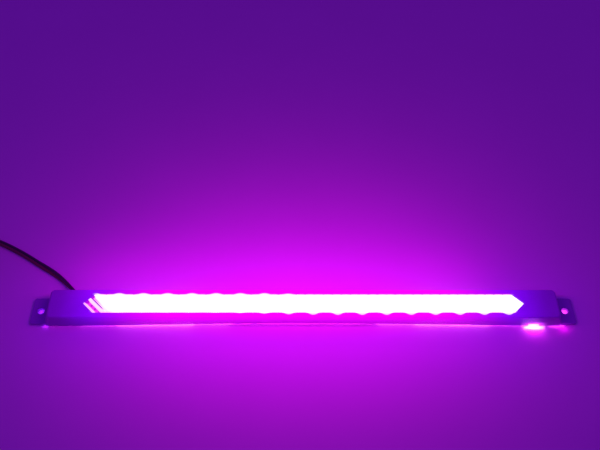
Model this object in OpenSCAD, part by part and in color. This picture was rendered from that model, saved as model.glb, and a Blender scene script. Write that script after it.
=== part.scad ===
// LED grow light bar with screw ears, ribbed diffuser, LED strip and a coiled two-core lead.
// X runs along the bar, +Y is the side the lead leaves from and +Z is the side that shines.
// The origin is at the middle of the bar's footprint, on the surface that it lies on.

/* [Overall] */
// Length over the two screw ears
total_l = 376; // [370:1:384]
// Width of the bar
body_w = 22.8; // [22:0.2:26]
// Height of the bar
body_h = 11.5; // [10.5:0.5:12]

/* [Housing] */
// Length of the hollow body at its foot
base_l = 357; // [355:1:360]
// Length of the hollow body at its top face
top_l = 349; // [347:1:353]
// Thickness of the side and end walls
wall = 1.6; // [1.4:0.1:1.8]
// Thickness of the roof around the window
roof = 1.6; // [1.4:0.1:1.8]
// Corner radius seen from above
corner_r = 3; // [2:0.5:4]
// Radius of the rounded top edge
edge_r = 1.2; // [0.6:0.1:1.3]
// How far the foot of each long wall leans in at mid length
wall_bow = 2.1; // [0:0.1:2.4]
// Height of the long walls' foot over the surface that the ears stand on
skirt_gap = 0.4; // [0.2:0.1:0.6]

/* [Screw ears] */
// Width of each ear
ear_w = 21; // [19:0.5:22]
// Thickness of each ear
ear_t = 1.8; // [1.5:0.1:2.4]
// Radius of the ears' outer corners
ear_r = 2; // [1:0.5:4]
// Diameter of the screw hole in each ear
ear_hole_d = 4.8; // [4:0.1:5.2]
// Distance between the two screw holes
ear_pitch = 364; // [363:1:366]

/* [Window and lens] */
// Window length from point to point
window_l = 302; // [298:1:306]
// Window width
window_w = 14.4; // [14:0.2:15.6]
// Width of the bevel around the window
window_bevel = 0.5; // [0.2:0.1:0.7]
// How far the lens reaches under the roof all round
lens_lip = 1.2; // [0.8:0.1:1.3]
// Thickness of that lip
lip_t = 1.2; // [0.8:0.1:1.4]
// Distance between the lens's slanting grooves, measured across them
rib_pitch = 4.4; // [4:0.1:6]
// Depth of the grooves
groove_h = 0.5; // [0.3:0.1:0.6]

/* [LED strip] */
// Number of LEDs
led_count = 18; // [12:3:18]
// LEDs in each group between two cut lines
group_size = 3; // [3]
// Length of one group
group_l = 50; // [50]
// Width of the circuit board
board_w = 10; // [8:1:10]
// Side of the square LED package
led_w = 5; // [4.6:0.2:5]
// Height of the LED package
led_h = 1.6; // [1.4:0.1:1.8]
// Place of the first blue LED, counted from the lead's end
blue_first = 3; // [1:1:4]
// One LED in this many is blue
blue_every = 4; // [3:1:6]

/* [Carrier] */
// Length of the carrier strip
carrier_l = 340; // [338:1:342]
// Width of the carrier strip
carrier_w = 15; // [14:0.5:15]
// Thickness of the carrier strip
carrier_t = 1; // [0.8:0.1:1.2]
// Height of the carrier's underside
carrier_z = 1.6; // [1.5:0.1:1.8]
// Distance between the two carrier screws
screw_pitch = 332; // [331:1:333]

/* [Lead] */
// Diameter of one insulated core
core_d = 2.2; // [2:0.1:2.2]
// Width of each lead notch
notch_w = 8; // [7:0.5:9]
// Height of each lead notch
notch_h = 2.8; // [2.8:0.1:3.2]
// Distance from the middle of a notch to the body's end
notch_inset = 20.5; // [19.5:0.5:21.5]

/* [Barrel plug] */
// Outer diameter of the metal sleeve
sleeve_d = 5.5; // [5.5]
// Bore of the centre contact
contact_bore = 2.1; // [2.1, 2.5]
// Length of the metal sleeve
sleeve_l = 9.5; // [9:0.5:12]
// Diameter of the moulded grip
grip_d = 10; // [9:0.5:10]
// Length of the moulded grip
grip_l = 16; // [14:1:20]
// Length of the tapered strain relief behind the grip
relief_l = 10; // [8:1:14]

/* [Hidden] */
$fn = 48;

eps = 0.05;
straight_h = body_h - edge_r;         // height at which the top edge starts to round over
roof_z = body_h - roof;               // underside of the roof
notch_x = base_l / 2 - notch_inset;   // the lead's notch is at -notch_x, the empty one at +notch_x
corner_steps = 8;
side_steps = 20;
edge_steps = 5;

carrier_top = carrier_z + carrier_t;
tape_t = 0.2;
board_t = 0.3;
board_z = carrier_top + tape_t;
board_top = board_z + board_t;
board_l = led_count / group_size * group_l;
led_pitch = group_l / group_size;
pad_t = 0.05;
pad_y = 3;                            // half the distance between the two rows of pads
emitter_d = led_w - 0.9;
emitter_h = 1;
boss_r = 2.6;
screw_r = 0.98;
pilot_r = 1;

// Inside the housing each core runs at this height, just clear of the carrier.
core_z = carrier_top + core_d / 2 + eps;
strip_x = -board_l / 2 - 2.2;         // where each core's insulation ends
conductor_d = 0.8;
bush_out = 11.6;                      // outer and inner faces of the rubber bush
bush_in = 8.4;

// Route of the free lead: x, y, z and the angle of the black core about the lead's own line,
// where 0 is to the right of the way it runs and 90 is on top. It leaves the bush with half a twist.
lead_route = [
    [-158, 11.6, 1.6, 180], [-158.9, 13.6, 1.75, 150], [-161, 15.8, 2.2, 112],
    [-163.9, 18.4, 2.3, 92], [-167.2, 21.7, 2.3, 82], [-171, 25.3, 2.25, 70],
    [-175.4, 29.1, 2.15, 56], [-180.4, 32.9, 1.9, 38], [-186, 36.8, 1.6, 20],
    [-192.5, 41.2, 1.35, 8], [-199.5, 46, 1.2, 0], [-207, 50.8, 1.2, 0],
    [-215, 55.4, 1.2, 0], [-223.5, 59.8, 1.2, 0], [-232, 63.2, 1.2, 0], [-240.5, 65.6, 1.4, 0]
];

// The rest of the lead is wound up beyond the bar's left end.
coil_centre = [-260, 38.4];
coil_r = 26.6;                        // middle of the turns
coil_lanes = 2;                       // turns side by side
coil_layers = 3;                      // turns on top of each other
tie_t = 0.5;
tie_w = 3;
coil_w = coil_lanes * 2 * core_d;
coil_h = coil_layers * core_d;

// Over the top of the coil and down its left side the lead runs on to the plug.
tail_route = [
    [-272, 59.5, 8.2, 0], [-280.3, 55.4, 8.25, 0], [-287.3, 48.3, 8.25, 0], [-291.8, 39.5, 8.25, 0],
    [-294.2, 32.5, 7, 0], [-295.2, 27, 5.8, 0], [-295, 22, 5, 0]
];
plug_at = [-295, 22, 5];

function led_x(i) = (i - (led_count - 1) / 2) * led_pitch;
function is_blue(i) = (i + 1 - blue_first) % blue_every == 0;

// A smooth curve through a route's points, with steps points for each stretch.
function curve(p, steps) =
    let (n = len(p) - 1)
    concat([for (i = [0:n - 1], k = [0:steps - 1])
        let (a = p[max(i - 1, 0)], b = p[i], c = p[i + 1], d = p[min(i + 2, n)], t = k / steps)
        0.5 * (2 * b + (c - a) * t + (2 * a - 5 * b + 4 * c - d) * t * t
            + (3 * b - a - 3 * c + d) * t * t * t)], [p[n]]);

// One ring of a flat or round lead: half_w across its two cores, half_h through one.
function place(p) = [p[0], p[1], p[2]];
function unit(v) = v / norm(v);
function ring(route, i, half_w, half_h, sides) =
    let (
        n = len(route) - 1,
        t = unit(place(route[min(i + 1, n)]) - place(route[max(i - 1, 0)])),
        right = unit([t[1], -t[0], 0]),
        up = cross(right, t),
        roll = route[i][3]
    )
    [for (k = [0:sides - 1])
        let (
            u = half_w * cos(360 * k / sides),
            v = half_h * sin(360 * k / sides)
        )
        place(route[i]) + right * (u * cos(roll) - v * sin(roll))
            + up * (u * sin(roll) + v * cos(roll))];

// Housing outline at height z, drawn in by inset, with corner radius r.
function half_l(z) = base_l / 2 - (base_l - top_l) / 2 * z / body_h;
function lean(x, z) =
    wall_bow * pow(max(0, 1 - pow(2 * x / base_l, 2)), 2.5) * max(0, 1 - z / straight_h);
function outline(z, inset, r) =
    let (
        cx = half_l(z) - inset - r,
        half_w = body_w / 2 - inset,
        cy = half_w - lean(cx, z) - r,
        signs = [[1, 1], [-1, 1], [-1, -1], [1, -1]]
    )
    [for (q = [0:3])
        let (s = signs[q])
        each concat(
            [for (k = [0:corner_steps])
                let (a = 90 * (q + k / corner_steps))
                [s[0] * cx + r * cos(a), s[1] * cy + r * sin(a), z]],
            q % 2 == 1 ? [] : [for (k = [1:side_steps - 1])
                let (x = s[0] * cx * (1 - 2 * k / side_steps))
                [x, s[1] * (half_w - lean(x, z)), z]]
        )];

function edge_ring(k) =
    let (a = 90 * k / edge_steps, inset = edge_r * (1 - cos(a)))
    outline(straight_h + edge_r * sin(a), inset, corner_r - inset);

// Long hexagon with square points, grown by g on every side.
function hexagon(g) =
    let (w = window_w / 2 + g, l = window_l / 2 + g * sqrt(2))
    [[l, 0], [l - w, w], [w - l, w], [-l, 0], [w - l, -w], [l - w, -w]];
function hexagon_ring(g, z) = [for (p = hexagon(g)) [p[0], p[1], z]];

// Closed skin over rings of equal length, with a fan of triangles over each end.
function middle(r) = [for (p = r) 1] * r / len(r);
module skin(rings) {
    n = len(rings[0]);
    last = len(rings) - 1;
    low_end = (last + 1) * n;
    high_end = low_end + 1;
    polyhedron(
        points = concat([for (r = rings) each r], [middle(rings[0])], [middle(rings[last])]),
        faces = [for (k = [0:n - 1])
            let (next = (k + 1) % n)
            each concat(
                [[low_end, k, next], [high_end, last * n + next, last * n + k]],
                [for (j = [0:last - 1]) each [
                    [j * n + k, (j + 1) * n + next, j * n + next],
                    [j * n + k, (j + 1) * n + k, (j + 1) * n + next]
                ]]
            )],
        convexity = 6
    );
}

module tube(route, half_w, half_h, sides = 8) {
    rings = [for (i = [0:len(route) - 1]) ring(route, i, half_w, half_h, sides)];
    skin([for (r = rings) [for (k = [0:sides - 1]) r[sides - 1 - k]]]);
}

module rounded_bar(l, w, r) {
    square([l - 2 * r, w], center = true);
    square([l, w - 2 * r], center = true);
    for (x = [-1, 1], y = [-1, 1])
        translate([x * (l / 2 - r), y * (w / 2 - r)])
            circle(r);
}

// Arch-topped notch through a long wall, with its foot open.
module notch(r = 1) {
    cut_y = 6;
    for (x = [-1, 1])
        translate([x * (notch_w / 2 - r), cut_y / 2, notch_h - r])
            rotate([90, 0, 0])
                cylinder(r = r, h = cut_y);
    translate([-notch_w / 2 + r, -cut_y / 2, -1])
        cube([notch_w - 2 * r, cut_y, notch_h + 1]);
    translate([-notch_w / 2, -cut_y / 2, -1])
        cube([notch_w, cut_y, notch_h + 1 - r]);
}

// Small ledge on a long wall that keeps the carrier from dropping out.
module snap_tab(x) {
    tab_l = 8;
    tab_top = carrier_z - 0.1;
    tab_in = carrier_w / 2 - 0.6;
    tab_out = body_w / 2 - wall - lean(x, 1) + 0.5;
    translate([x - tab_l / 2, tab_in, tab_top - 0.8])
        cube([tab_l, tab_out - tab_in, 0.8]);
}

module housing() {
    ear_in = base_l / 2 - 4;
    color("thistle") {
        difference() {
            union() {
                skin(concat([outline(skirt_gap, 0, corner_r)], [for (k = [0:edge_steps]) edge_ring(k)]));
                for (turn = [0, 180])
                    rotate(turn)
                        linear_extrude(ear_t) {
                            translate([ear_in, -ear_w / 2])
                                square([total_l / 2 - ear_in - ear_r, ear_w]);
                            translate([ear_in, -ear_w / 2 + ear_r])
                                square([total_l / 2 - ear_in, ear_w - 2 * ear_r]);
                            for (y = [-1, 1])
                                translate([total_l / 2 - ear_r, y * (ear_w / 2 - ear_r)])
                                    circle(ear_r);
                        }
            }
            skin([outline(-1, wall, corner_r - wall), outline(roof_z, wall, corner_r - wall)]);
            translate([0, 0, roof_z - 1])
                linear_extrude(roof + 2)
                    polygon(hexagon(0));
            skin([hexagon_ring(0, body_h - window_bevel), hexagon_ring(window_bevel + eps, body_h + eps)]);
            for (x = [-1, 1])
                translate([x * ear_pitch / 2, 0, -1])
                    cylinder(d = ear_hole_d, h = ear_t + 2);
            for (turn = [0, 180])
                rotate(turn)
                    translate([-notch_x, body_w / 2, 0])
                        notch();
        }
        for (x = [-1, 1])
            translate([x * screw_pitch / 2, 0, carrier_top])
                difference() {
                    cylinder(r = boss_r, h = roof_z + 0.3 - carrier_top);
                    translate([0, 0, -1])
                        cylinder(r = pilot_r, h = 6.4);
                }
        for (turn = [0, 180], x = [-100, 0, 100])
            rotate(turn)
                snap_tab(x);
    }
}

module lens() {
    lens_top = body_h - 0.2;
    reach = window_l / 2;
    grooves = ceil((2 * reach / sqrt(2) + window_w) / rib_pitch);
    groove_side = groove_h * sqrt(2);
    color("violet", 0.7) {
        translate([0, 0, roof_z - lip_t])
            linear_extrude(lip_t)
                polygon(hexagon(lens_lip));
        difference() {
            translate([0, 0, roof_z - eps])
                linear_extrude(lens_top - roof_z + eps)
                    polygon(hexagon(-0.1));
            // The grooves run parallel to the window's front left edge, the first one half a rib in from it.
            translate([-reach, 0, lens_top])
                rotate(45)
                    for (k = [1:grooves])
                        translate([(k - 0.5) * rib_pitch, 0, 0])
                            rotate([0, 45, 0])
                                cube([groove_side, 2 * reach * sqrt(2), groove_side], center = true);
        }
    }
}

module carrier() {
    color("silver")
        translate([0, 0, carrier_z])
            linear_extrude(carrier_t)
                difference() {
                    rounded_bar(carrier_l, carrier_w, 1.5);
                    for (x = [-1, 1])
                        translate([x * screw_pitch / 2, 0])
                            circle(r = 1.2);
                    // A recess beside each notch lets the lead, or light, past the carrier.
                    for (turn = [0, 180])
                        rotate(turn)
                            translate([-notch_x - 5.5, 2.6])
                                square([12, carrier_w]);
                }
}

module carrier_screws() {
    head_h = 1.2;
    head_r = 1.9;
    slot_w = 0.5;
    color("gainsboro")
        for (x = [-1, 1])
            translate([x * screw_pitch / 2, 0, carrier_z - head_h]) {
                difference() {
                    union() {
                        cylinder(r1 = head_r - 0.4, r2 = head_r, h = 0.4);
                        translate([0, 0, 0.4])
                            cylinder(r = head_r, h = head_h - 0.4);
                    }
                    for (a = [0, 90])
                        rotate(a)
                            cube([2.2, slot_w, 1.4], center = true);
                }
                translate([0, 0, head_h])
                    cylinder(r = screw_r, h = 4.6);
                translate([0, 0, head_h + 4.6])
                    cylinder(r1 = screw_r, r2 = 0.3, h = 1.2);
            }
}

module board_tape() {
    color("white")
        translate([-board_l / 2 + 1, -board_w / 2 + 0.5, carrier_top])
            cube([board_l - 2, board_w - 1, tape_t]);
}

module led_board() {
    color("white")
        translate([-board_l / 2, -board_w / 2, board_z])
            cube([board_l, board_w, board_t]);
}

module led_packages() {
    color("ivory")
        for (i = [0:led_count - 1])
            translate([led_x(i), 0, board_top])
                difference() {
                    translate([-led_w / 2, -led_w / 2, 0])
                        cube([led_w, led_w, led_h]);
                    translate([0, 0, led_h - emitter_h])
                        cylinder(d = emitter_d, h = emitter_h + 1);
                    // The cut corner marks the cathode.
                    translate([led_w / 2, led_w / 2, led_h])
                        rotate(45)
                            cube([1.2, 1.2, 0.8], center = true);
                }
}

module led_terminals() {
    leg = [0.9, 0.5, 0.35];
    color("lightgray")
        for (i = [0:led_count - 1], x = [-1.6, 0, 1.6], side = [-1, 1])
            translate([led_x(i) + x - leg[0] / 2, side * (led_w + leg[1]) / 2 - leg[1] / 2, board_top])
                cube(leg);
}

module emitter(i) {
    translate([led_x(i), 0, board_top + led_h - emitter_h])
        cylinder(d = emitter_d, h = emitter_h);
}

module red_emitters() {
    color("red")
        for (i = [0:led_count - 1])
            if (!is_blue(i))
                emitter(i);
}

module blue_emitters() {
    color("blue")
        for (i = [0:led_count - 1])
            if (is_blue(i))
                emitter(i);
}

module resistors() {
    size = [1.6, 3.2, 0.55];
    color("black")
        for (i = [0:group_size:led_count - 1])
            translate([led_x(i) + led_pitch / 2 - size[0] / 2, -size[1] / 2, board_top])
                cube(size);
}

module solder_pads() {
    pad = [1.8, 2.2];
    from_cut = 0.3;
    color("goldenrod")
        for (i = [0:group_size:led_count - 1], end = [-1, 1], y = [-1, 1]) {
            cut_x = led_x(i + (group_size - 1) / 2) + end * group_l / 2;
            translate([cut_x - end * (from_cut + pad[0] / 2) - pad[0] / 2, y * pad_y - pad[1] / 2, board_top])
                cube([pad[0], pad[1], pad_t]);
        }
}

module solder_joints() {
    joint_r = 1.1;
    color("silver")
        for (y = [-1, 1])
            translate([-board_l / 2 + 1.2, y * pad_y, board_top + pad_t])
                difference() {
                    translate([0, 0, 0.35])
                        sphere(r = joint_r);
                    translate([-2, -2, -4])
                        cube([4, 4, 4]);
                    translate([-2, 0, core_z - board_top - pad_t])
                        rotate([0, 90, 0])
                            cylinder(d = conductor_d, h = 2.5);
                }
}

// The two cores part behind the bush and reach the pads at the strip's left end.
module feed_core_black() {
    color("black")
        tube(curve([
            [-156.9, bush_in, 1.9, 0], [-156.9, 6.4, 2.3, 0], [-156.4, 5, 3.1, 0],
            [-155.4, 3.9, 3.7, 0], [-153.9, 3.2, core_z, 0], [strip_x, pad_y, core_z, 0]
        ], 2), core_d / 2, core_d / 2);
}

module feed_core_red() {
    color("firebrick")
        tube(curve([
            [-159.1, bush_in, 1.9, 0], [-159.1, 6.2, 2.4, 0], [-159.1, 4.4, 3.3, 0],
            [-158.9, 2.3, core_z, 0], [-158.1, 0.2, core_z, 0], [-156.7, -1.6, core_z, 0],
            [-154.6, -2.7, core_z, 0], [strip_x, -pad_y, core_z, 0]
        ], 2), core_d / 2, core_d / 2);
}

module feed_conductors() {
    joint_x = -board_l / 2 + 1.7;
    color("silver")
        for (y = [-1, 1])
            translate([strip_x, y * pad_y, core_z])
                rotate([0, 90, 0])
                    cylinder(d = conductor_d, h = joint_x - strip_x);
}

// Rubber bush: a neck that fills the notch and a flange that stops it inside the wall.
module lead_bush() {
    neck_w = notch_w - 2.1;
    neck_z = skirt_gap + 0.05;
    flange = [10.4, 1.2, 3.6];
    color("dimgray")
        translate([-notch_x, 0, neck_z]) {
            translate([-neck_w / 2, bush_in, 0])
                cube([neck_w, bush_out - bush_in, notch_h - neck_z - 0.05]);
            translate([-notch_w / 2 + 0.05, bush_in, 0])
                cube([notch_w - 0.1, bush_out - bush_in, notch_h - 1 - neck_z]);
            translate([-flange[0] / 2, bush_in, 0])
                cube(flange);
        }
}

module cord() {
    color("black")
        tube(curve(lead_route, 2), core_d, core_d / 2);
}

module cord_coil() {
    color("black")
        translate([coil_centre[0], coil_centre[1], tie_t])
            rotate_extrude()
                translate([coil_r, coil_h / 2])
                    rounded_bar(coil_w, coil_h, core_d / 2);
}

module cord_tail() {
    color("black")
        tube(curve(tail_route, 2), core_d, core_d / 2);
}

module cord_tie() {
    tie_angle = -55;
    gap = 0.1;
    color("darkslategray")
        translate([coil_centre[0], coil_centre[1], 0])
            rotate(tie_angle)
                translate([coil_r, 0, 0])
                    difference() {
                        translate([-coil_w / 2 - gap - tie_t, -tie_w / 2, 0])
                            cube([coil_w + 2 * (gap + tie_t), tie_w, coil_h + gap + 2 * tie_t]);
                        translate([-coil_w / 2 - gap, -tie_w, tie_t])
                            cube([coil_w + 2 * gap, 2 * tie_w, coil_h + gap]);
                    }
}

// The plug's pieces are turned about its own line, which runs from the lead to the tip.
module along_plug() {
    translate(plug_at)
        rotate([90, 0, 0])
            children();
}

module plug_body() {
    color("black")
        along_plug()
            rotate_extrude()
                polygon([
                    [0, 0], [core_d + 0.3, 0], [grip_d / 2 - 1.4, relief_l], [grip_d / 2 - 0.6, relief_l],
                    [grip_d / 2, relief_l + 0.6], [grip_d / 2, relief_l + grip_l - 0.8],
                    [grip_d / 2 - 0.8, relief_l + grip_l], [0, relief_l + grip_l]
                ]);
}

module plug_ring(outer_d, inner_d, from, to) {
    along_plug()
        translate([0, 0, relief_l + grip_l + from])
            rotate_extrude()
                translate([inner_d / 2, 0])
                    square([(outer_d - inner_d) / 2, to - from]);
}

module plug_sleeve() {
    color("silver")
        plug_ring(sleeve_d, sleeve_d - 0.6, 0, sleeve_l);
}

module plug_insulator() {
    color("black")
        plug_ring(sleeve_d - 0.6, contact_bore + 0.6, 0, sleeve_l - 0.1);
}

module plug_contact() {
    color("goldenrod")
        plug_ring(contact_bore + 0.6, contact_bore, 0, sleeve_l - 0.8);
}

housing();
lens();
carrier();
carrier_screws();
board_tape();
led_board();
led_packages();
led_terminals();
red_emitters();
blue_emitters();
resistors();
solder_pads();
solder_joints();
feed_core_black();
feed_core_red();
feed_conductors();
lead_bush();
cord();
cord_coil();
cord_tail();
cord_tie();
plug_body();
plug_sleeve();
plug_insulator();
plug_contact();
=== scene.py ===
"""LED grow light bar, switched on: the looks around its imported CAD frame.

X runs along the bar, +Y is the side that the lead leaves from and +Z is the side that shines.
Sizes below are in millimetres, and make() turns them into Blender's metres.
"""

import math

import bmesh
import bpy
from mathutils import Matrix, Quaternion, Vector


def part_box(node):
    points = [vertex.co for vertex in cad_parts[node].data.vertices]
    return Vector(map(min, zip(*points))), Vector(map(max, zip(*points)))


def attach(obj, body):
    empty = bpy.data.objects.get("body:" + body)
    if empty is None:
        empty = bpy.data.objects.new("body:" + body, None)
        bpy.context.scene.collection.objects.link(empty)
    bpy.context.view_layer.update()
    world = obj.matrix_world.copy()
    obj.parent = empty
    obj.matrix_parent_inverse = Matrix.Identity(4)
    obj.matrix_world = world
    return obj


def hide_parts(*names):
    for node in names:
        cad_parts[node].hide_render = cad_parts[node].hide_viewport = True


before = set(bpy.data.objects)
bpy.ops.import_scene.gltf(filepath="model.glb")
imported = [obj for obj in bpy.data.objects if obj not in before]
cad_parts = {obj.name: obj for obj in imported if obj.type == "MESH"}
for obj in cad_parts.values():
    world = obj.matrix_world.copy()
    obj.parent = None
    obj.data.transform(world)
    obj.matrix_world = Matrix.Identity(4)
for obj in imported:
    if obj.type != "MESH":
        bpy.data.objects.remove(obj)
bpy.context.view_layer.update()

MM = 0.001
FULL_TURN = 2 * math.pi


def corners(node):
    """Lowest and highest corner of a CAD node, in millimetres."""
    low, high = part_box(node)
    return low / MM, high / MM


# ---------------------------------------------------------------- sizes, from the frame where it gives them

HOUSING_LOW, HOUSING_HIGH = corners("housing")
TOTAL_L = HOUSING_HIGH.x - HOUSING_LOW.x
BODY_W = HOUSING_HIGH.y - HOUSING_LOW.y
BODY_H = HOUSING_HIGH.z
EAR_L = 9.5
BASE_L = TOTAL_L - 2 * EAR_L
TOP_L = BASE_L - 8
WALL = 1.6
ROOF_Z = BODY_H - WALL
CORNER_R = 3
EDGE_R = 1.2
WALL_BOW = 2.1
SKIRT_Z = 0.4
EAR_T = 1.8
EAR_W = 21
EAR_R = 2
EAR_HOLE_R = 2.4
EAR_X = 182
SCREW_X = 166
WINDOW_L = 302
WINDOW_W = 14.4
WINDOW_BEVEL = 0.5
LENS_LIP = 1.2
LENS_TOP = BODY_H - 0.2
RIB_PITCH = 4.4
GROOVE_H = 0.5
LED_PITCH = 50 / 3
NOTCH_X = BASE_L / 2 - 20.5
NOTCH_W = 8
NOTCH_H = 2.8
NOTCH_R = 1
CORE_D = 2.2


# ---------------------------------------------------------------- mesh helpers

def make(name, points, faces, sharp=32, slots=None):
    """A mesh object from points in millimetres, smooth except where faces meet at more than sharp degrees.
    slots gives each face's material slot, where it isn't 0."""
    mesh = bpy.data.meshes.new(name)
    mesh.from_pydata([Vector(p) * MM for p in points], [], faces)
    if slots:
        mesh.polygons.foreach_set("material_index", slots)
    piece = bpy.data.objects.new(name, mesh)
    bpy.context.scene.collection.objects.link(piece)
    tidy(piece, sharp)
    return piece


def tidy(piece, sharp):
    """Turns every face outwards and sets smooth shading with sharp edges kept."""
    shape = bmesh.new()
    shape.from_mesh(piece.data)
    bmesh.ops.remove_doubles(shape, verts=shape.verts, dist=1e-7)
    bmesh.ops.recalc_face_normals(shape, faces=shape.faces)
    shape.to_mesh(piece.data)
    shape.free()
    piece.data.shade_smooth()
    piece.data.set_sharp_from_angle(angle=math.radians(sharp))


def loft(rings, wrap=False):
    """Points and faces of a skin over rings of equal length. wrap joins the last ring to the first."""
    n = len(rings[0])
    count = len(rings)
    points = [p for ring in rings for p in ring]
    faces = []
    for j in range(count if wrap else count - 1):
        a, b = j * n, (j + 1) % count * n
        faces += [(a + k, a + (k + 1) % n, b + (k + 1) % n, b + k) for k in range(n)]
    if not wrap:
        faces += [tuple(reversed(range(n))), tuple(range((count - 1) * n, count * n))]
    return points, faces


def smooth(t):
    """Turns an even change from 0 to 1 into one that starts and ends softly."""
    return t * t * (3 - 2 * t)


def circle(r, z, steps):
    """Points of a level circle round Z."""
    return [
        (r * math.cos(FULL_TURN * k / steps), r * math.sin(FULL_TURN * k / steps), z)
        for k in range(steps)
    ]


def turned(profile, steps=64, wrap=False):
    """A turned shape about Z from a profile of (radius, height)."""
    return loft([circle(r, z, steps) for r, z in profile], wrap)


def rounded_rectangle(length, width, r, steps):
    """Outline of (x, y) points, counter-clockwise, starting at the right end of the top side."""
    points = []
    for q, (sx, sy) in enumerate([(1, 1), (-1, 1), (-1, -1), (1, -1)]):
        for k in range(steps + 1):
            a = math.radians(90 * (q + k / steps))
            points.append((
                sx * (length / 2 - r) + r * math.cos(a),
                sy * (width / 2 - r) + r * math.sin(a),
            ))
    return points


def pillow_block(length, width, low, high, r, edge, steps):
    """A block with rounded corners and rounded upper and lower edges."""
    rings = []
    for end, inwards, angles in [(low, 1, (0, 30, 60, 90)), (high, -1, (90, 60, 30, 0))]:
        for a in angles:
            inset = edge * (1 - math.sin(math.radians(a)))
            z = end + inwards * edge * (1 - math.cos(math.radians(a)))
            outline = rounded_rectangle(length - 2 * inset, width - 2 * inset, r, steps)
            rings.append([(x, y, z) for x, y in outline])
    return loft(rings)


def arch_top(half, high, r):
    """Points (x, z) of an arch's two rounded upper corners, from right to left."""
    points = []
    for x, first in [(half - r, 0), (r - half, 90)]:
        for k in range(7):
            a = math.radians(first + 15 * k)
            points.append((x + r * math.cos(a), high - r + r * math.sin(a)))
    return points


def moved(shape, offset=(0, 0, 0), turn=0.0):
    """Points and faces turned about Z by degrees, then shifted."""
    points, faces = shape
    c, s = math.cos(math.radians(turn)), math.sin(math.radians(turn))
    dx, dy, dz = offset
    return [(x * c - y * s + dx, x * s + y * c + dy, z + dz) for x, y, z in points], faces


def joined(*shapes):
    """Several shapes as one list of points and faces."""
    points, faces = [], []
    for shape_points, shape_faces in shapes:
        start = len(points)
        points += shape_points
        faces += [tuple(start + i for i in f) for f in shape_faces]
    return points, faces


def combine(piece, operation, shapes):
    """Adds the shapes to the piece or cuts them out of it, one after another."""
    for shape in shapes:
        tool = make("tool", *shape)
        modifier = piece.modifiers.new("combine", "BOOLEAN")
        modifier.operation = operation
        modifier.solver = "EXACT"
        modifier.object = tool
        apply_modifiers(piece)
        bpy.data.objects.remove(tool)


def apply_modifiers(piece):
    """Makes the result of the piece's modifiers its own mesh."""
    bpy.context.view_layer.update()
    shown = piece.evaluated_get(bpy.context.evaluated_depsgraph_get())
    mesh = bpy.data.meshes.new_from_object(shown)
    piece.modifiers.clear()
    piece.data = mesh


def finish_edges(piece, width=0.0):
    """Bevels sharp edges by width, if it has one, and lets the shading normals follow the large faces."""
    if width:
        bevel = piece.modifiers.new("edge", "BEVEL")
        bevel.width = width * MM
        bevel.segments = 2
        bevel.limit_method = "ANGLE"
        bevel.angle_limit = math.radians(40)
    normals = piece.modifiers.new("normals", "WEIGHTED_NORMAL")
    normals.keep_sharp = True


# ---------------------------------------------------------------- camera

def make_camera():
    """Stands in front of the bar and above it, as a person at the table would."""
    data = bpy.data.cameras.new("camera")
    data.sensor_width = 36
    data.lens = 48
    camera = bpy.data.objects.new("camera", data)
    camera.location = (-0.0113, -0.3049, 0.4699)
    pitch_down, yaw, roll = 50.79, 1.35, 1.13
    look = Vector((
        math.sin(math.radians(yaw)) * math.cos(math.radians(pitch_down)),
        math.cos(math.radians(yaw)) * math.cos(math.radians(pitch_down)),
        -math.sin(math.radians(pitch_down)),
    ))
    camera.rotation_mode = "QUATERNION"
    camera.rotation_quaternion = look.to_track_quat("-Z", "Y") @ Quaternion((0, 0, 1), math.radians(roll))
    bpy.context.scene.collection.objects.link(camera)
    bpy.context.scene.camera = camera


make_camera()


# ---------------------------------------------------------------- the lead

# The free lead's route: x, y, z and the angle of the black core, 0 to the right and 90 on top.
LEAD_ROUTE = [
    (-158, 11.6, 1.6, 180), (-158.9, 13.6, 1.75, 150), (-161, 15.8, 2.2, 112),
    (-163.9, 18.4, 2.3, 92), (-167.2, 21.7, 2.3, 82), (-171, 25.3, 2.25, 70),
    (-175.4, 29.1, 2.15, 56), (-180.4, 32.9, 1.9, 38), (-186, 36.8, 1.6, 20),
    (-192.5, 41.2, 1.35, 8), (-199.5, 46, 1.2, 0), (-207, 50.8, 1.2, 0),
    (-215, 55.4, 1.2, 0), (-223.5, 59.8, 1.2, 0), (-232, 63.2, 1.2, 0), (-240.5, 65.6, 1.4, 0),
]
ONTO_COIL = (-250.5, 67, 1.6, 0)
TAIL_ROUTE = [
    (-294.2, 32.5, 7, 0), (-295.2, 27, 5.8, 0), (-295, 22, 5, 0),
]
COIL_CENTRE = (-260, 38.4)
OUTER_R, INNER_R = 28.8, 24.4
FIRST_Z = 1.6
PLUG_AT = Vector((-295, 22, 5))


def coil_keys():
    """Angle, radius and height where the lead changes lane or climbs onto the turns below."""
    change = 50  # degrees that one change takes
    step = 305  # degrees from the start of one change to the start of the next
    start = 345
    last_angle, last_r = 1980, OUTER_R + 3.2
    z1, z2, z3, z4 = [FIRST_Z + CORE_D * k for k in range(4)]
    keys = [(90, OUTER_R, z1)]
    for from_r, from_z, to_r, to_z in [
        (OUTER_R, z1, INNER_R, z1), (INNER_R, z1, INNER_R, z2), (INNER_R, z2, OUTER_R, z2),
        (OUTER_R, z2, OUTER_R, z3), (OUTER_R, z3, INNER_R, z3), (INNER_R, z3, INNER_R, z4),
    ]:
        keys += [(start, from_r, from_z), (start + change, to_r, to_z)]
        start += step
    return keys + [(last_angle, last_r, z4)]


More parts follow.
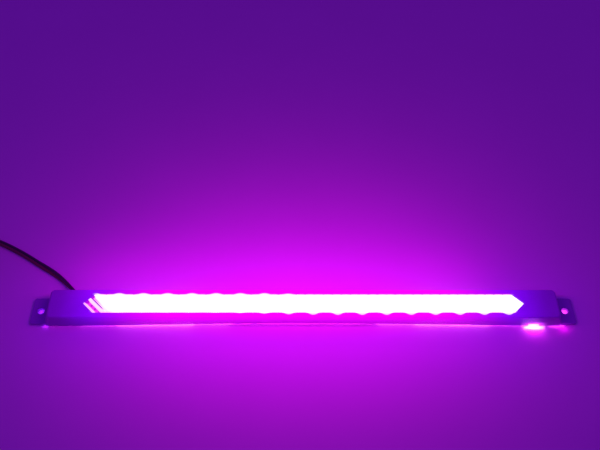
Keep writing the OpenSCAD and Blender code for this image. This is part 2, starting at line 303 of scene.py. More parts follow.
def coil_points(keys):
    """Points on the coil, with a smooth change between each two keys."""
    step = 10
    points = []
    angle = keys[0][0]
    while angle <= keys[-1][0]:
        a, b = next((a, b) for a, b in zip(keys, keys[1:]) if angle <= b[0])
        t = smooth((angle - a[0]) / (b[0] - a[0]))
        r = a[1] + (b[1] - a[1]) * t
        z = a[2] + (b[2] - a[2]) * t
        turn = math.radians(angle)
        points.append((COIL_CENTRE[0] + r * math.cos(turn), COIL_CENTRE[1] + r * math.sin(turn), z, 0))
        angle += step
    return points


def smooth_route(route, steps):
    """A curve through the route's points, with steps points for each stretch."""
    last = len(route) - 1
    points = []
    for i in range(last):
        a, b, c, d = [Vector(route[min(max(k, 0), last)]) for k in (i - 1, i, i + 1, i + 2)]
        for k in range(steps):
            t = k / steps
            points.append(0.5 * (
                2 * b + (c - a) * t + (2 * a - 5 * b + 4 * c - d) * t * t + (3 * b - a - 3 * c + d) * t ** 3
            ))
    return points + [Vector(route[last])]


def two_core_outline():
    """Cross-section of the lead: two round cores joined by a thin web. The first half is the black core."""
    steps = 12
    r = CORE_D / 2
    web = math.radians(167)
    half = [
        (r + r * math.cos(-web + 2 * web * k / steps), r * math.sin(-web + 2 * web * k / steps))
        for k in range(steps + 1)
    ]
    return half + [(-x, -y) for x, y in half]


def swept(path, outline):
    """Rings of an outline carried along a path of points that each hold a roll angle."""
    rings = []
    last = len(path) - 1
    for i, p in enumerate(path):
        ahead = (path[min(i + 1, last)].to_3d() - path[max(i - 1, 0)].to_3d()).normalized()
        right = Vector((ahead.y, -ahead.x, 0)).normalized()
        up = right.cross(ahead)
        c, s = math.cos(math.radians(p.w)), math.sin(math.radians(p.w))
        rings.append([tuple(p.to_3d() + right * (u * c - v * s) + up * (u * s + v * c)) for u, v in outline])
    return rings


lead_path = smooth_route([*LEAD_ROUTE, ONTO_COIL, *coil_points(coil_keys()), *TAIL_ROUTE], 4)


def make_lead():
    """The whole lead as one swept skin, with the black core in slot 0 and the red one in slot 1."""
    section = two_core_outline()
    n = len(section)
    points, faces = loft(swept(lead_path, section))
    slots = [0 if min(v % n for v in f) < n // 2 else 1 for f in faces]
    return make("lead", points, faces, 50, slots)


lead = make_lead()


# ---------------------------------------------------------------- housing

def half_length(z):
    """Half the housing's length at height z, between its two slanted ends."""
    return BASE_L / 2 - (BASE_L - TOP_L) / 2 * z / BODY_H


def lean(x, z):
    """How far a long wall leans in at x and z. The wall's foot is bowed towards the middle of the bar."""
    return WALL_BOW * max(0, 1 - (2 * x / BASE_L) ** 2) ** 2.5 * max(0, 1 - z / (BODY_H - EDGE_R))


def housing_outline(z, inset, r):
    """The housing's outline at height z, inset on every side, with round corners and bowed long sides."""
    corner_steps, side_steps = 10, 48
    cx = half_length(z) - inset - r
    half_w = BODY_W / 2 - inset
    cy = half_w - lean(cx, z) - r
    points = []
    for q, (sx, sy) in enumerate([(1, 1), (-1, 1), (-1, -1), (1, -1)]):
        for k in range(corner_steps + 1):
            a = math.radians(90 * (q + k / corner_steps))
            points.append((sx * cx + r * math.cos(a), sy * cy + r * math.sin(a), z))
        if q % 2 == 0:
            for k in range(1, side_steps):
                x = sx * cx * (1 - 2 * k / side_steps)
                points.append((x, sy * (half_w - lean(x, z)), z))
    return points


def hexagon(grow, z):
    """The window's outline with square points, grown on every side."""
    w = WINDOW_W / 2 + grow
    reach = WINDOW_L / 2 + grow * math.sqrt(2)
    flat = [(reach, 0), (reach - w, w), (w - reach, w), (-reach, 0), (w - reach, -w), (reach - w, -w)]
    return [(x, y, z) for x, y in flat]


def housing_skin():
    """The cover's outer skin, with a slightly rounded foot and a round upper edge."""
    foot_r = 0.15
    rings = [
        housing_outline(SKIRT_Z, foot_r, CORNER_R - foot_r),
        housing_outline(SKIRT_Z + foot_r, 0, CORNER_R),
    ]
    steps = 8
    for k in range(steps + 1):
        a = math.radians(90 * k / steps)
        inset = EDGE_R * (1 - math.cos(a))
        rings.append(housing_outline(BODY_H - EDGE_R + EDGE_R * math.sin(a), inset, CORNER_R - inset))
    return loft(rings)


def ear(turn):
    """A flat screw ear with rounded corners and a softened upper edge."""
    ear_in = BASE_L / 2 - 4
    edge = 0.35

    def ring(z, inset):
        r = EAR_R - inset
        arc_x, arc_y = TOTAL_L / 2 - EAR_R, EAR_W / 2 - EAR_R
        points = [(ear_in, inset - EAR_W / 2, z)]
        for y, first in [(-arc_y, -90), (arc_y, 0)]:
            for k in range(9):
                a = math.radians(first + 90 * k / 8)
                points.append((arc_x + r * math.cos(a), y + r * math.sin(a), z))
        return points + [(ear_in, EAR_W / 2 - inset, z)]

    rings = [ring(0, 0.1), ring(0.1, 0), ring(EAR_T - edge, 0)]
    for a in [30, 60, 90]:
        inset = edge * (1 - math.cos(math.radians(a)))
        rings.append(ring(EAR_T - edge + edge * math.sin(math.radians(a)), inset))
    return moved(loft(rings), turn=turn)


def notch(turn):
    """Arch-topped cutter for the opening in a long wall's foot."""
    half = NOTCH_W / 2
    arch = [(-half, -1), (half, -1), *arch_top(half, NOTCH_H, NOTCH_R)]
    rings = [[(x - NOTCH_X, y, z) for x, z in arch] for y in (BODY_W / 2 - 3, BODY_W / 2 + 3)]
    return moved(loft(rings), turn=turn)


def make_housing():
    """The cover: skin and ears, then the cavity, window, holes and notches cut out, then bosses and tabs."""
    chamfer = 0.25
    hole = turned([
        (EAR_HOLE_R, -1), (EAR_HOLE_R, EAR_T - chamfer), (EAR_HOLE_R + 3 * chamfer, EAR_T + 2 * chamfer),
    ])
    pilot_r, pilot_z, boss_r, boss_low, boss_high = 1, 8, 2.6, 2.6, ROOF_Z + 0.3
    boss = turned([
        (0, pilot_z), (pilot_r, pilot_z), (pilot_r, boss_low),
        (boss_r, boss_low), (boss_r, boss_high), (0, boss_high),
    ], 32)
    tab_w, tab_root = 3.6, 0.6
    tab = pillow_block(8, tab_w, 0.7, 1.5, 0.3, 0.15, 2)
    cavity_foot = housing_outline(SKIRT_Z, WALL, CORNER_R - WALL)
    below = [(x, y, -1) for x, y, _ in cavity_foot]
    piece = make("housing_shell", *housing_skin())
    combine(piece, "UNION", [ear(0), ear(180)])
    combine(piece, "DIFFERENCE", [
        loft([below, cavity_foot, housing_outline(ROOF_Z, WALL, CORNER_R - WALL)]),
        loft([hexagon(0, ROOF_Z - 1), hexagon(0, BODY_H + 1)]),
        loft([hexagon(0, BODY_H - WINDOW_BEVEL), hexagon(2 * WINDOW_BEVEL, BODY_H + WINDOW_BEVEL)]),
        moved(hole, (EAR_X, 0, 0)), moved(hole, (-EAR_X, 0, 0)),
        notch(0), notch(180),
    ])
    combine(piece, "UNION", [moved(boss, (SCREW_X, 0, 0)), moved(boss, (-SCREW_X, 0, 0))])
    for x in (-100, 0, 100):
        y = BODY_W / 2 - WALL - lean(x, 1) - (tab_w / 2 - tab_root)
        combine(piece, "UNION", [moved(tab, (x, y, 0)), moved(tab, (x, -y, 0))])
    tidy(piece, 32)
    finish_edges(piece)
    return piece


# ---------------------------------------------------------------- lens

def rib_height(a):
    """Height of the lens's upper face at distance a across the ribs from the window's left point."""
    u = abs(a % RIB_PITCH - RIB_PITCH / 2)
    groove = max(0, GROOVE_H - u)
    crown = 0.22 * (1 - 2 * u / RIB_PITCH) ** 2
    return LENS_TOP - max(groove, crown)


def lens_face():
    """The ribbed upper part of the lens. Rows of points run along the slanting ribs."""
    root = math.sqrt(2)
    gap = 0.1
    w = WINDOW_W / 2 - gap
    reach = WINDOW_L / 2 - gap * root
    limit = reach / root
    rows = {-limit, limit, root * w - limit, limit - root * w}
    for k in range(math.ceil(2 * limit / RIB_PITCH + 1)):
        groove = (k + 0.5) * RIB_PITCH - limit
        for u in [0, 0.25, 0.5, 1, 1.6, 2.2]:
            rows |= {a for a in (groove - u, groove + u) if -limit < a < limit}
    rows = sorted(rows)
    rows = [a for i, a in enumerate(rows) if i == 0 or a - rows[i - 1] > 0.02]
    across = 6
    base_z = ROOF_Z - 0.4
    upper, lower = [], []
    for a in rows:
        low, high = max(a - root * w, -limit), min(a + root * w, limit)
        for k in range(across + 1):
            b = low + (high - low) * k / across
            x, y = (a + b) / root, (a - b) / root
            upper.append((x, y, rib_height(a + limit)))
            lower.append((x, y, base_z))
    step = across + 1
    count = len(rows)
    total = count * step
    faces = []
    for i in range(count - 1):
        for k in range(across):
            q = i * step + k
            faces.append((q, q + step, q + step + 1, q + 1))
            faces.append((total + q, total + q + 1, total + q + step + 1, total + q + step))
        for q in (i * step, i * step + across):
            faces.append((q, q + step, total + q + step, total + q))
    for first in (0, total - step):
        faces += [(q, q + 1, total + q + 1, total + q) for q in range(first, first + across)]
    return upper + lower, faces


def make_lens():
    """The diffuser: a flat lip under the roof, with the ribbed face standing in the window."""
    piece = make("ribbed_lens", *loft([hexagon(LENS_LIP, ROOF_Z - 1.2), hexagon(LENS_LIP, ROOF_Z)]))
    combine(piece, "UNION", [lens_face()])
    tidy(piece, 28)
    finish_edges(piece)
    return piece


# ---------------------------------------------------------------- small parts

def make_bush():
    """Rubber bush in the notch: a neck with a softened outer face and a flange behind the wall."""
    out_y, in_y, flange_t = 11.6, 8.4, 1.2
    soft, gap = 0.3, 0.05
    rings = []
    for y, inset in [(in_y + 0.1, 0), (out_y - soft, 0), (out_y - 0.1, 0.12), (out_y, soft)]:
        less = gap + inset
        half, low = NOTCH_W / 2 - less, SKIRT_Z + less
        outline = [(-half, low), (half, low), *arch_top(half, NOTCH_H - less, NOTCH_R - less)]
        rings.append([(x - NOTCH_X, y, z) for x, z in outline])
    piece = make("notch_bush", *loft(rings))
    flange = pillow_block(10.4, flange_t, SKIRT_Z + gap, 4.05, 0.3, 0.2, 3)
    combine(piece, "UNION", [moved(flange, (-NOTCH_X, in_y + flange_t / 2, 0))])
    tidy(piece, 40)
    finish_edges(piece)
    return piece


def make_tie():
    """A flat strap in a closed loop round the coil's turns."""
    thickness, width, soft = 0.5, 3, 0.14
    turn = math.radians(-55)
    out = Vector((math.cos(turn), math.sin(turn), 0))
    side = Vector((-math.sin(turn), math.cos(turn), 0))
    centre = Vector((*COIL_CENTRE, 0)) + out * (OUTER_R + INNER_R) / 2
    loop_w, loop_h = 9.5, 7.2
    loop = rounded_rectangle(loop_w, loop_h, 1.2, 6)
    half_t, half_w = thickness / 2, width / 2
    section = [
        (half_t, half_w - soft), (half_t - soft, half_w), (soft - half_t, half_w), (-half_t, half_w - soft),
        (-half_t, soft - half_w), (soft - half_t, -half_w), (half_t - soft, -half_w), (half_t, soft - half_w),
    ]
    n = len(loop)
    rings = []
    for i, (x, z) in enumerate(loop):
        along = (Vector(loop[(i + 1) % n]) - Vector(loop[i - 1])).normalized()
        normal = Vector((along.y, -along.x))
        foot = z + loop_h / 2 + thickness / 2
        rings.append([
            tuple(centre + out * (x + normal.x * u) + side * v + Vector((0, 0, foot + normal.y * u)))
            for u, v in section
        ])
    return make("coil_tie", *loft(rings, wrap=True), 40)


# The plug is made standing on the lead's end: a strain relief, a grip, and the contacts from TIP_Z on.
RELIEF_L = 10
GRIP_L = 16
GRIP_R = 5
TIP_Z = RELIEF_L + GRIP_L


def on_plug(shape):
    """Turns a shape made about Z so that it runs from the lead's end towards the plug's tip."""
    points, faces = shape
    return [(PLUG_AT.x + x, PLUG_AT.y - z, PLUG_AT.z + y) for x, y, z in points], faces


def plug_radius(z, angle):
    """Radius of the moulded plug body: a ringed strain relief, then a fluted grip with plain ends."""
    if z < RELIEF_L:
        ring_pitch, ring_depth = 2, 0.4
        taper = 2.5 + 1.1 * z / RELIEF_L
        ring = 0.5 * (1 + math.cos(FULL_TURN * z / ring_pitch))
        return taper - ring_depth * ring ** 2 * (0 < z)
    shoulder_r, flutes, flute_depth = 0.8, 16, 0.3
    from_end = min(z - RELIEF_L, TIP_Z - z)
    shoulder = GRIP_R - shoulder_r + math.sqrt(max(0, shoulder_r ** 2 - max(0, shoulder_r - from_end) ** 2))
    flute = 0.5 * (1 + math.cos(flutes * angle))
    reach = min(1, max(0, (from_end - 2.2) / 1.5))
    return shoulder - flute_depth * flute * smooth(reach)


def make_plug_body():
    """The moulded body. Its rows of points are closest together at the grip's two ends."""
    steps = 96
    gap = 0.02
    heights = [0.25 * k for k in range(int(RELIEF_L / 0.25))] + [RELIEF_L - gap]
    for k in range(41):
        share = 0.5 - 0.5 * math.cos(math.pi * k / 40)
        heights.append(RELIEF_L + gap + (GRIP_L - 2 * gap) * share)
    rings = []
    for z in heights:
        rings.append([
            (plug_radius(z, a) * math.cos(a), plug_radius(z, a) * math.sin(a), min(z, TIP_Z - 0.001))
            for a in (FULL_TURN * k / steps for k in range(steps))
        ])
    piece = make("plug_grip", *on_plug(loft(rings)), 40)
    finish_edges(piece)
    return piece


def make_plug_ring(name, profile):
    """A turned tube at the plug's tip, from a closed profile of (radius, height above the grip)."""
    piece = make(name, *on_plug(turned([(r, TIP_Z + z) for r, z in profile], 64, True)), 40)
    finish_edges(piece)
    return piece


def make_screws():
    """Two pan-head screws with a cross recess, seen from below, and a coarse thread in the bosses."""
    places = (-SCREW_X, SCREW_X)
    head_low, head_high, head_r = 0.4, 1.6, 1.9
    core_r, crest_r, half_pitch = 0.74, 0.98, 0.3
    dome = [(0, head_low), (1.1, head_low + 0.02), (1.6, head_low + 0.18), (1.86, head_low + 0.45)]
    rim = [(head_r, head_low + 0.7), (head_r, head_high), (0.8, head_high)]
    thread = [(crest_r if k % 2 else core_r, head_high + 0.4 + half_pitch * k) for k in range(14)]
    point = [(0.3, 7.2), (0, 7.4)]
    screw = turned(dome + rim + thread + point, 40)
    recess = pillow_block(2.3, 0.5, -1, head_low + 0.7, 0.2, 0.05, 3)
    piece = make("carrier_screws_pair", *joined(*[moved(screw, (x, 0, 0)) for x in places]), 40)
    combine(piece, "DIFFERENCE", [moved(recess, (x, 0, 0), turn) for x in places for turn in (20, 110)])
    tidy(piece, 40)
    finish_edges(piece)
    return piece


def soften(node, width):
    """Welds a CAD node's shading seams and rounds its edges a little, without changing its mesh."""
    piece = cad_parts[node]
    weld = piece.modifiers.new("weld", "WELD")
    weld.merge_threshold = 1e-6
    finish_edges(piece, width)


housing = make_housing()
lens = make_lens()
bush = make_bush()
tie = make_tie()
plug_grip = make_plug_body()
plug_sleeve = make_plug_ring("plug_sleeve_shell", [
    (2.45, -0.5), (2.75, -0.5), (2.75, 9.2), (2.7, 9.42), (2.6, 9.5), (2.5, 9.42), (2.45, 9.2),
])
plug_core = make_plug_ring("plug_insulator_ring", [
    (1.36, -0.5), (2.44, -0.5), (2.44, 9.05), (2.34, 9.15), (1.5, 9.15), (1.36, 9.0),
])
plug_contact = make_plug_ring("plug_contact_tube", [
    (1.05, -0.5), (1.35, -0.5), (1.35, 8.7), (1.12, 8.7), (1.05, 8.55),
])
screws = make_screws()
for node, width in [
    ("carrier", 0.12), ("led_board", 0.03), ("led_packages", 0.12), ("led_terminals", 0.05),
    ("resistors", 0.06), ("feed_conductors", 0.05), ("solder_joints", 0),
]:
    soften(node, width)

replaced = {
    housing: ["housing"], lens: ["lens"], bush: ["lead_bush"], tie: ["cord_tie"],
    lead: ["cord", "cord_coil", "cord_tail"], plug_grip: ["plug_body"], plug_sleeve: ["plug_sleeve"],
    plug_core: ["plug_insulator"], plug_contact: ["plug_contact"], screws: ["carrier_screws"],
}
for piece, nodes in replaced.items():
    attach(piece, "root")
    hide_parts(*nodes)


# ---------------------------------------------------------------- materials

class Surface:
    """Builds one procedural material. Coordinates are the row frame's, in millimetres."""

    def __init__(self, name, roughness=0.5, metallic=0.0):
        self.material = bpy.data.materials.new(name)
        self.material.use_nodes = True
        self.tree = self.material.node_tree
        self.shader = self.tree.nodes["Principled BSDF"]
        self.set("Roughness", roughness)
        self.set("Metallic", metallic)
        place = self.node("ShaderNodeTexCoord").outputs["Object"]
        self.mm = self.node("ShaderNodeVectorMath", {0: place, "Scale": 1 / MM}, operation="SCALE").outputs[0]
        split = self.node("ShaderNodeSeparateXYZ", {0: self.mm})
        self.x, self.y, self.z = split.outputs

    def node(self, kind, inputs=None, **settings):
        """A new node of that kind, with its inputs fed and its settings made."""
        made = self.tree.nodes.new(kind)
        for key, value in settings.items():
            setattr(made, key, value)
        for key, value in (inputs or {}).items():
            self.feed(made.inputs[key], value)
        return made

    def feed(self, socket, value):
        """Links an input to another node's output, or gives it a plain value."""
        if isinstance(value, bpy.types.NodeSocket):
            self.tree.links.new(value, socket)
        elif isinstance(value, tuple) and len(value) == 3 and socket.type == "RGBA":
            socket.default_value = (*value, 1)
        else:
            socket.default_value = value

    def set(self, name, value):
        """Feeds one of the shader's own inputs."""
        self.feed(self.shader.inputs[name], value)

    def math(self, operation, a, b=0.0, c=0.0):
        """The result of one arithmetic node."""
        return self.node("ShaderNodeMath", {0: a, 1: b, 2: c}, operation=operation).outputs[0]

    def ramp(self, value, low, high, to_low=0.0, to_high=1.0):
        """A smooth step: to_low where value is low, to_high where it is high."""
        return self.node("ShaderNodeMapRange", {
            "Value": value, "From Min": low, "From Max": high, "To Min": to_low, "To Max": to_high,
        }, interpolation_type="SMOOTHSTEP").outputs[0]

    def mix(self, share, a, b):
        """Colour a where share is 0 and colour b where it is 1."""
        made = self.node("ShaderNodeMix", data_type="RGBA")
        for socket, value in zip((made.inputs[0], made.inputs[6], made.inputs[7]), (share, a, b)):
            self.feed(socket, value)
        return made.outputs[2]

    def noise(self, size, detail=3.0, stretch=(1, 1, 1)):
        """Smooth noise from 0 to 1 whose spots are about size millimetres across."""
        scaled = self.node("ShaderNodeVectorMath", {0: self.mm, 1: stretch}, operation="MULTIPLY").outputs[0]
        spots = self.node("ShaderNodeTexNoise", {"Vector": scaled, "Scale": 1 / size, "Detail": detail})
        return spots.outputs[0]

    def bump(self, height, depth):
        """Relief of depth millimetres."""
        relief = self.node("ShaderNodeBump", {"Height": height, "Distance": depth * MM, "Strength": 1.0})
        self.set("Normal", relief.outputs[0])


def moulded(name, colour, shade, roughness, grain=0.35, depth=0.012):
    """Moulded plastic: fine grained relief, faint mottling and uneven gloss."""
    s = Surface(name)
    s.set("Base Color", s.mix(s.noise(9), colour, shade))
    s.set("Roughness", s.ramp(s.noise(1.6, 5), 0.25, 0.75, roughness - 0.06, roughness + 0.08))
    s.bump(s.noise(grain, 2), depth)
    return s


def metal(name, colour, shade, roughness, stretch=(0.04, 1, 1), size=0.25, depth=0.003):
    """Metal with brushed or rolled lines along the axis that stretch makes long."""
    s = Surface(name, metallic=1.0)
    lines = s.noise(size, 4, stretch)
    s.set("Base Color", s.mix(lines, colour, shade))
    s.set("Roughness", s.ramp(s.noise(2, 4, stretch), 0.3, 0.7, roughness - 0.07, roughness + 0.1))
    s.bump(lines, depth)
    return s


# Colours of the housing's painted glow, and how far its painted bumps of light over the rim are shifted along
# the bar.
VIOLET_END = (0.03, 0.0, 0.06)
VIOLET = (0.12, 0.0, 0.55)
MAGENTA = (0.80, 0.0, 0.82)
HOT_PINK = (1.0, 0.80, 1.0)
RIM_SHIFT = -2.5


def led_wave(s, shift=0.0):
    """1 in line with each LED and 0 half way between two. shift moves it along the bar."""
    turns = s.math("MULTIPLY", s.math("SUBTRACT", s.x, shift), FULL_TURN / LED_PITCH)
    return s.math("MULTIPLY_ADD", s.math("COSINE", turns), -0.5, 0.5)


def scallops(s, beside, reach):
    """Bright bumps that the LEDs throw over the window's rim, beside being the distance from the window."""
    bump = s.math("MULTIPLY", reach, s.math("POWER", led_wave(s, RIM_SHIFT), 1.8))
    inside = s.ramp(s.math("SUBTRACT", bump, beside), -0.1, 0.55)
    return s.math("MULTIPLY", inside, s.ramp(beside, -0.6, -0.5))


def housing_plastic():
    """Thin satin plastic with the LEDs' light through it painted on as glow: magenta beside the window,
    violet towards the ends.
    """
    s = moulded("housing_plastic", (0.25, 0.13, 0.44), (0.21, 0.11, 0.38), 0.42)
    # Painted glow: magenta along the middle, violet further out and nearly dark at the ends.
    along = s.math("ABSOLUTE", s.x)
    blue_share = s.ramp(along, 172, 138)
    red_share = s.ramp(along, 152, 88)
    glow = s.mix(red_share, s.mix(blue_share, VIOLET_END, VIOLET), MAGENTA)

    # Painted shade darkens the window's bevel, and painted bumps of the LEDs' light lie over it and the top.
    behind = s.math("SUBTRACT", s.y, WINDOW_W / 2)
    before = s.math("SUBTRACT", s.math("MULTIPLY", s.y, -1), WINDOW_W / 2)
    beside = s.math("MAXIMUM", behind, before)
    on_window = s.ramp(along, 146, 141)
    bevel = s.math("MULTIPLY", s.ramp(beside, 1.3, 0.5), on_window)
    glow = s.mix(s.math("MULTIPLY", bevel, 0.6), glow, (0.42, 0.0, 0.42))
    back_light_bumps = scallops(s, behind, s.ramp(s.x, 15, -30, 0.1, 1.1))
    front_light_bumps = scallops(s, before, s.ramp(s.x, -80, 20, 0.3, 2.4))
    light_bumps = s.math("MULTIPLY", s.math("MAXIMUM", back_light_bumps, front_light_bumps), on_window)
    light_bumps = s.math("MULTIPLY", light_bumps, s.ramp(s.z, BODY_H - 1.9, BODY_H - 0.9))
    glow = s.mix(light_bumps, glow, HOT_PINK)

    # Light from the empty notch falls on the front wall round it.
    from_notch = s.math("ABSOLUTE", s.math("SUBTRACT", s.x, NOTCH_X))
    halo = s.math("MULTIPLY", s.ramp(from_notch, 11, 2), s.ramp(s.z, 5.5, 1.5))
    halo = s.math("MULTIPLY", halo, s.ramp(s.y, -8, -10))
    s.set("Emission Color", s.mix(halo, glow, (0.85, 0.0, 0.8)))
    # Painted shade: the glow is weaker lower down the walls than on the top.
    s.set("Emission Strength", s.ramp(s.z, 1.5, BODY_H - 0.3, 0.5, 1.0))
    return s


def lens_plastic():
    """Frosted ribbed diffuser with the LEDs behind it. Its left end is less evenly lit than the rest.

    Places at that end are millimetres from the window's left point, across and along the slanting ribs.
    """
    s = Surface("lens_plastic", 0.38)
    root = 1 / math.sqrt(2)
    inward = s.math("ADD", s.x, WINDOW_L / 2)
    across = s.math("MULTIPLY", s.math("ADD", inward, s.y), root)
    along = s.math("MULTIPLY", s.math("SUBTRACT", inward, s.y), root)

    def band(value, low, high, soft):
        """1 between low and high, fading to 0 within soft on both sides."""
        return s.math("MULTIPLY", s.ramp(value, low - soft, low), s.ramp(value, high + soft, high))

    # White hot in the middle, and pinker towards the long edges and the left end.
    tint = s.mix(s.ramp(s.math("ABSOLUTE", s.y), 5.8, 7.6), (1.0, 0.95, 1.0), (1.0, 0.72, 1.0))
    tint = s.mix(s.ramp(across, 10, 6.5), tint, (1.0, 0.74, 1.0))
    pink_end = s.math("MULTIPLY", band(across, 7.0, 8.0, 0.7), s.ramp(along, 12, 3))
    tint = s.mix(pink_end, tint, (0.90, 0.25, 0.85))

    # The first rib is magenta with a row of darker spots, and a bright stripe runs before it.
    spot_pitch = 3.8
    from_spot = s.math("SUBTRACT", along, spot_pitch / 2)
    row = s.math("COSINE", s.math("MULTIPLY", from_spot, FULL_TURN / spot_pitch))
    spots = s.math("MULTIPLY", s.ramp(row, 0.3, 0.9), band(across, 2.3, 3.5, 0.5))
    first_rib = band(across, 1.6, 3.5, 0.6)
    tint = s.mix(first_rib, tint, s.mix(spots, (0.80, 0.03, 0.72), (0.36, 0.01, 0.36)))
    stripe = s.math("MULTIPLY", s.ramp(across, 1.2, 0.6), 0.8)
    tint = s.mix(stripe, tint, (1.0, 0.45, 1.0))

    # Painted shade darkens the groove that follows, and the ribs' front ends lie in painted shade.
    groove = s.math("MULTIPLY", band(across, 6.3, 6.9, 0.3), s.ramp(along, 15, 11))
    tint = s.mix(groove, tint, (0.22, 0.03, 0.22))
    rib_ends = s.math("MAXIMUM", band(across, 1.2, 3.9, 0.4), band(across, 6.6, 8.8, 0.5))
    rib_ends = s.math("MULTIPLY", rib_ends, s.ramp(along, 2.4, 1.4))
    tint = s.mix(rib_ends, tint, (0.36, 0.0, 0.55))
    # The lens's base colour is darkened where its light is painted dark: painted shade.
    painted_shade = s.math("MAXIMUM", s.math("MAXIMUM", rib_ends, groove), first_rib)
    s.set("Base Color", s.mix(painted_shade, (0.9, 0.86, 0.92), (0.25, 0.12, 0.25)))
    s.set("Emission Color", tint)
    s.set("Emission Strength", s.ramp(across, 6, 12, 1.0, 1.35))
    s.bump(s.noise(0.3, 2), 0.006)
    return s


def core_plastic(name, colour, shade):
    """Soft insulation with a waxy sheen and slight scuffs along the lead."""
    s = moulded(name, colour, shade, 0.44, grain=0.5, depth=0.008)
    s.set("Sheen Weight", 0.15)
    return s


def woven(name, colour, shade):
    """Hook-and-loop strap: fine crossed threads."""
    s = Surface(name, 0.85)
    thread_rate = 14
    warp = s.math("SINE", s.math("MULTIPLY", s.x, thread_rate))
    weft = s.math("SINE", s.math("MULTIPLY", s.math("ADD", s.y, s.z), thread_rate))
    threads = s.math("MULTIPLY", warp, weft)
    s.set("Base Color", s.mix(s.ramp(threads, -1, 1), colour, shade))
    s.set("Sheen Weight", 0.4)
    s.bump(threads, 0.05)
    return s


def board_mask():
    """White solder mask with faint copper tracks showing as slightly raised lines."""
    s = Surface("board_mask", 0.35)
    across = s.math("ABSOLUTE", s.y)
    track = s.math("MULTIPLY", s.ramp(across, 3.9, 4.1), s.ramp(across, 4.7, 4.5))
    s.set("Base Color", s.mix(track, (0.84, 0.84, 0.82), (0.74, 0.75, 0.70)))
    s.set("Coat Weight", 0.3)
    s.bump(track, 0.02)
    return s


def emitter_resin(name, colour):
    """Clear resin over a small bright chip in the middle of each LED."""
    s = Surface(name, 0.12)
    s.set("Base Color", s.mix(s.noise(0.8), colour, tuple(0.6 * c for c in colour)))
    s.set("Coat Weight", 0.6)
    near = s.math("MULTIPLY", s.math("POWER", led_wave(s), 6), s.ramp(s.math("ABSOLUTE", s.y), 2, 0))
    s.set("Emission Color", colour)
    s.set("Emission Strength", s.ramp(near, 0, 1, 1.0, 5.0))
    return s


def solder_metal():
    """Smooth, slightly uneven solder."""
    s = Surface("solder_metal", 0.22, 1.0)
    s.set("Base Color", s.mix(s.noise(0.7, 4), (0.80, 0.81, 0.83), (0.62, 0.63, 0.65)))
    s.bump(s.noise(0.5, 3), 0.02)
    return s


BLACK = core_plastic("black_insulation", (0.022, 0.020, 0.024), (0.035, 0.032, 0.038))
RED = core_plastic("red_insulation", (0.15, 0.011, 0.036), (0.11, 0.009, 0.028))
TINNED = metal("tinned_copper", (0.80, 0.79, 0.77), (0.68, 0.67, 0.66), 0.30, (1, 0.1, 1))
PLUG_PLASTIC = moulded("plug_plastic", (0.028, 0.027, 0.030), (0.045, 0.044, 0.048), 0.5, 0.3, 0.02)


def dress(thing, *surfaces):
    """Gives a piece, or a CAD node by name, its materials."""
    piece = thing
    if isinstance(thing, str):
        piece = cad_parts[thing]
        piece.data.materials.clear()
    for surface in surfaces:
        piece.data.materials.append(surface.material)


dress(housing, housing_plastic())
dress(lens, lens_plastic())
dress(lead, BLACK, RED)
dress(bush, moulded("bush_rubber", (0.045, 0.045, 0.05), (0.07, 0.07, 0.075), 0.7, 0.5, 0.02))
dress(tie, woven("tie_fabric", (0.03, 0.03, 0.035), (0.09, 0.09, 0.10)))
dress(plug_grip, PLUG_PLASTIC)
dress(plug_core, PLUG_PLASTIC)
dress(plug_sleeve, metal("nickel", (0.82, 0.80, 0.76), (0.70, 0.68, 0.64), 0.18, (1, 0.05, 1), 0.3, 0.002))
dress(plug_contact, metal("contact_brass", (0.80, 0.62, 0.30), (0.68, 0.50, 0.22), 0.22, (1, 0.05, 1)))
dress(screws, metal("zinc_steel", (0.72, 0.73, 0.72), (0.55, 0.56, 0.58), 0.30, (1, 1, 1), 0.4, 0.004))
dress("carrier", metal("brushed_aluminium", (0.78, 0.79, 0.80), (0.62, 0.63, 0.65), 0.34))
dress("board_tape", moulded("foam_tape", (0.86, 0.86, 0.83), (0.78, 0.78, 0.75), 0.8, 0.4, 0.05))
dress("led_board", board_mask())
dress("led_packages", moulded("led_case", (0.90, 0.88, 0.82), (0.84, 0.81, 0.74), 0.45, 0.3, 0.006))
dress("led_terminals", TINNED)
dress("red_emitters", emitter_resin("red_resin", (1.0, 0.03, 0.08)))
dress("blue_emitters", emitter_resin("blue_resin", (0.06, 0.08, 1.0)))
dress("resistors", moulded("resistor_glaze", (0.012, 0.012, 0.014), (0.03, 0.03, 0.03), 0.3, 0.3, 0.01))
dress("solder_pads", metal("bare_copper", (0.86, 0.52, 0.33), (0.72, 0.40, 0.24), 0.35, (1, 1, 1), 0.5))
dress("solder_joints", solder_metal())
dress("feed_core_black", BLACK)
dress("feed_core_red", RED)
dress("feed_conductors", TINNED)


# ---------------------------------------------------------------- floor and light

def make_floor():
    """A plain pale floor just under the bar, in metres."""
    reach, z = 3.0, -0.00002
    mesh = bpy.data.meshes.new("floor")
    corner_points = [(sx * reach, sy * reach, z) for sx, sy in [(-1, -1), (1, -1), (1, 1), (-1, 1)]]
    mesh.from_pydata(corner_points, [], [(0, 1, 2, 3)])
    floor = bpy.data.objects.new("floor", mesh)
    bpy.context.scene.collection.objects.link(floor)
    s = Surface("pale_floor", 0.75)
    s.set("Base Color", s.mix(s.noise(60), (0.70, 0.69, 0.71), (0.66, 0.65, 0.67)))
    mesh.materials.append(s.material)


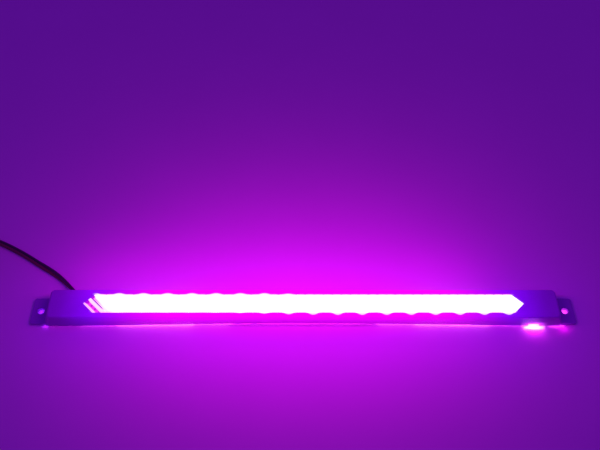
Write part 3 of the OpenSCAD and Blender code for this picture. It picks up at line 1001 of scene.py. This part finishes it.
def area_light(name, place, towards, size, power, colour, size_y=None):
    """An unseen soft light in metres that shines from place towards a point. Short ones are oval."""
    data = bpy.data.lights.new(name, "AREA")
    data.shape = "ELLIPSE" if size < 0.02 else "RECTANGLE"
    data.size, data.size_y = size, size_y or size
    data.energy = power
    data.color = colour
    lamp = bpy.data.objects.new(name, data)
    lamp.location = place
    lamp.rotation_mode = "QUATERNION"
    lamp.rotation_quaternion = (Vector(towards) - Vector(place)).to_track_quat("-Z", "Y")
    lamp.visible_camera = False
    bpy.context.scene.collection.objects.link(lamp)


def make_studio():
    """Dim, even light, so that the bar's own light stands out."""
    area_light("key", (-0.6, -0.5, 1.2), (0, 0, 0), 1.2, 0.09, (1, 1, 1))
    area_light("fill", (0.8, 0.6, 1.0), (0, 0, 0), 1.2, 0.04, (1, 1, 1))
    world = bpy.data.worlds.new("room")
    world.use_nodes = True
    room = world.node_tree.nodes["Background"].inputs
    room["Color"].default_value = (0.32, 0.006, 1.0, 1)
    room["Strength"].default_value = 0.36
    bpy.context.scene.world = world


def make_skirt_leaks():
    """The LEDs' light that gets out under the long walls, strongest a quarter of the length from each end.

    Where it is strongest its strips lie lower, so that the lit line is brighter but no wider.
    """
    pieces = 14
    piece_l = BASE_L / pieces
    for side, strength in [(-1, 0.0019), (1, 0.0034)]:
        for k in range(pieces):
            x = (k + 0.5) * piece_l - BASE_L / 2
            y = side * (BODY_W / 2 - WALL - lean(x, SKIRT_Z) - 0.1)
            near_middle = 1 - abs(x) / (BASE_L / 2)
            peak = math.sin(math.pi * min(1, near_middle * 1.1)) ** 4
            power = strength * (0.2 + 0.9 * near_middle ** 2 + 2.6 * peak)
            z = 0.13 + 0.17 * (1 - peak) * near_middle
            place = Vector((x, y, z)) * MM
            towards = Vector((x, y + side, z - 0.07)) * MM
            colour = (1.0, 0.01 + 0.12 * peak, 0.95)
            area_light(f"skirt_leak_{side}_{k}", place, towards, piece_l * MM, power, colour, 0.2 * MM)


def spill(name, x, y, z, length, width, power, colour):
    """A small light in millimetres that shines straight down on the floor."""
    place = Vector((x, y, z)) * MM
    area_light(name, place, place + Vector((0, 0, -1)) * MM, length * MM, power, colour, width * MM)


def make_spills():
    """Light that pours out of the empty notch, the gaps at the corners and the ears' holes."""
    front = -BODY_W / 2
    magenta = (1.0, 0.04, 0.95)
    violet = (0.45, 0.01, 1.0)
    pink = (1.0, 0.40, 1.0)
    spill("notch_core", NOTCH_X, front - 1.1, 1.0, 14, 1.2, 0.0005, pink)
    spill("notch_inside", NOTCH_X, front + 1.6, 2.4, 7, 2, 0.0003, pink)
    spill("notch_halo", NOTCH_X, front - 2.6, 5, 10, 1, 0.0009, (1.0, 0.0, 0.9))
    spill("corner_left", -EAR_X + 5, front - 0.3, 1.2, 4, 0.6, 0.00006, violet)
    spill("corner_right", EAR_X - 8, front - 0.1, 0.8, 11, 0.4, 0.00012, magenta)
    spill("corner_glow", EAR_X - 4, front - 2, 3.5, 8, 1, 0.0002, (1.0, 0.0, 0.9))
    spill("ear_hole_left", -EAR_X, 0, 1.6, 3, 3, 0.00012, (0.3, 0.01, 1.0))
    spill("ear_hole_right", EAR_X, 0, 1.6, 3, 3, 0.00015, magenta)


def make_glow():
    """The bar's glow on the floor round it: magenta in front and behind, violet close by."""
    area_light("glow", (-0.005, -0.010, 0.11), (-0.005, 0.036, 0), 0.20, 0.146, (1.0, 0.0, 0.95), 0.02)
    area_light("glow_behind", (-0.02, 0.026, 0.034), (-0.02, 0.03, 0), 0.28, 0.019, (1.0, 0.0, 1.0), 0.012)
    area_light("glow_violet", (0, -0.008, 0.055), (0, 0.006, 0), 0.35, 0.052, (0.08, 0.0, 1.0), 0.02)


bpy.context.scene.view_settings.view_transform = "Standard"
make_floor()
make_studio()
make_skirt_leaks()
make_spills()
make_glow()
